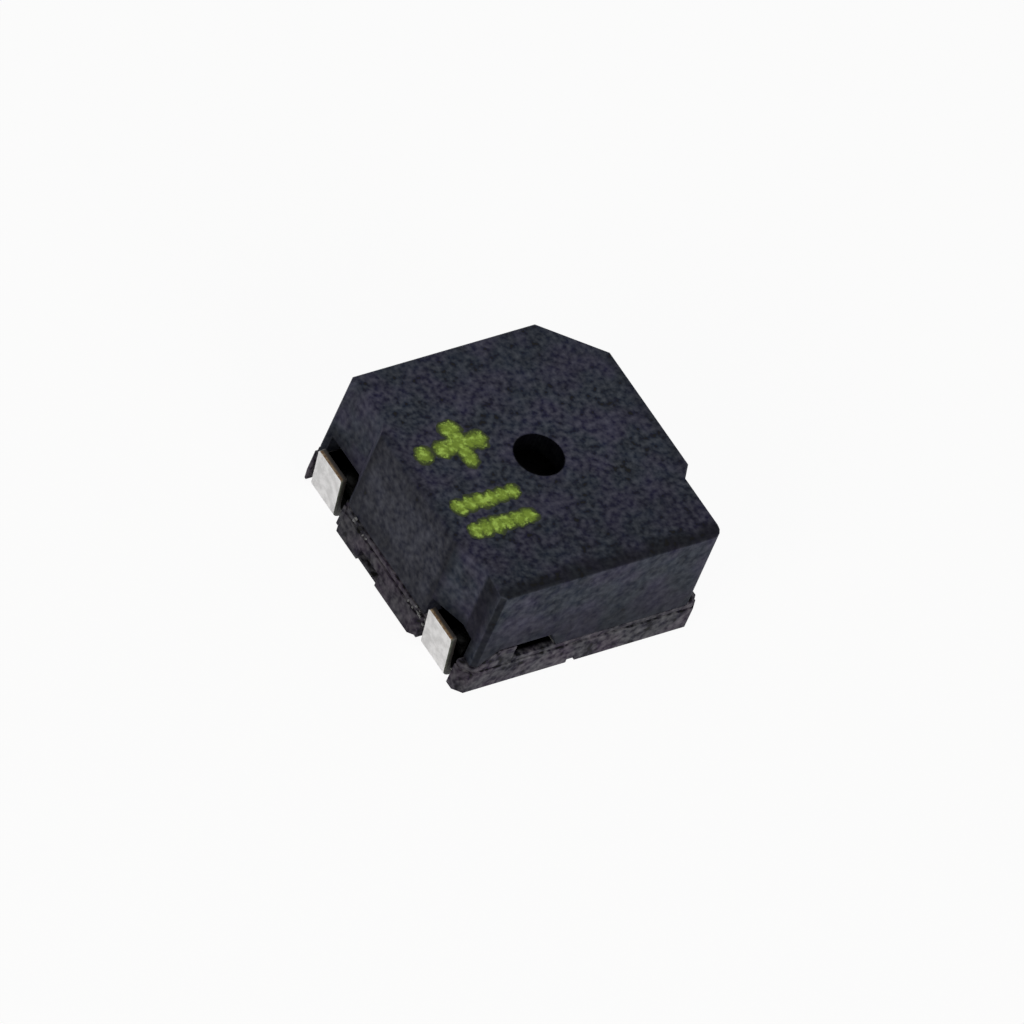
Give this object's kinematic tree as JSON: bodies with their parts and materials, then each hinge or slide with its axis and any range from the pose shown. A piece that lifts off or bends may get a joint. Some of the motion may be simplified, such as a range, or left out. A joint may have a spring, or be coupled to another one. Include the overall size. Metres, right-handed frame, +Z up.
{
  "type": "magnetic buzzer",
  "caption": "Square surface-mount magnetic buzzer with a round sound hole, recessed corners and bent side terminals.",
  "frame": {"origin": "middle of the footprint on the seating plane of the solder feet", "axes": "+Z up through the sound hole, X across the two terminal sides with the large chamfered corner at +X +Y, Y along the terminal sides"},
  "size_m": [0.0088, 0.0086, 0.0041],
  "materials": {
    "cap_plastic": "matte moulded, fine grain",
    "base_plastic": "matte moulded",
    "glue": "cured clear glue over black plastic",
    "tinned_strap": "matte tin over copper alloy",
    "soft_iron": "plain",
    "enamelled_copper": "enamelled winding",
    "magnet": "plated",
    "ring_plastic": "moulded",
    "spring_steel": "rolled",
    "solder": "reflowed",
    "printed_ink": "dried ink drops on the cap"
  },
  "bodies": {
    "root": {"upper_case": "cap_plastic", "base": "base_plastic", "seam_adhesive": "glue", "terminal_front_left": "tinned_strap", "terminal_back_left": "tinned_strap", "terminal_front_right": "tinned_strap", "terminal_back_right": "tinned_strap", "yoke_plate": "soft_iron", "core": "soft_iron", "coil": "enamelled_copper", "magnet_ring": "magnet", "support_ring": "ring_plastic", "diaphragm": "spring_steel", "armature_disc": "soft_iron", "lead_wire_front": "enamelled_copper", "lead_wire_back": "enamelled_copper", "solder_joint_front": "solder", "solder_joint_back": "solder"}
  },
  "joints": []
}
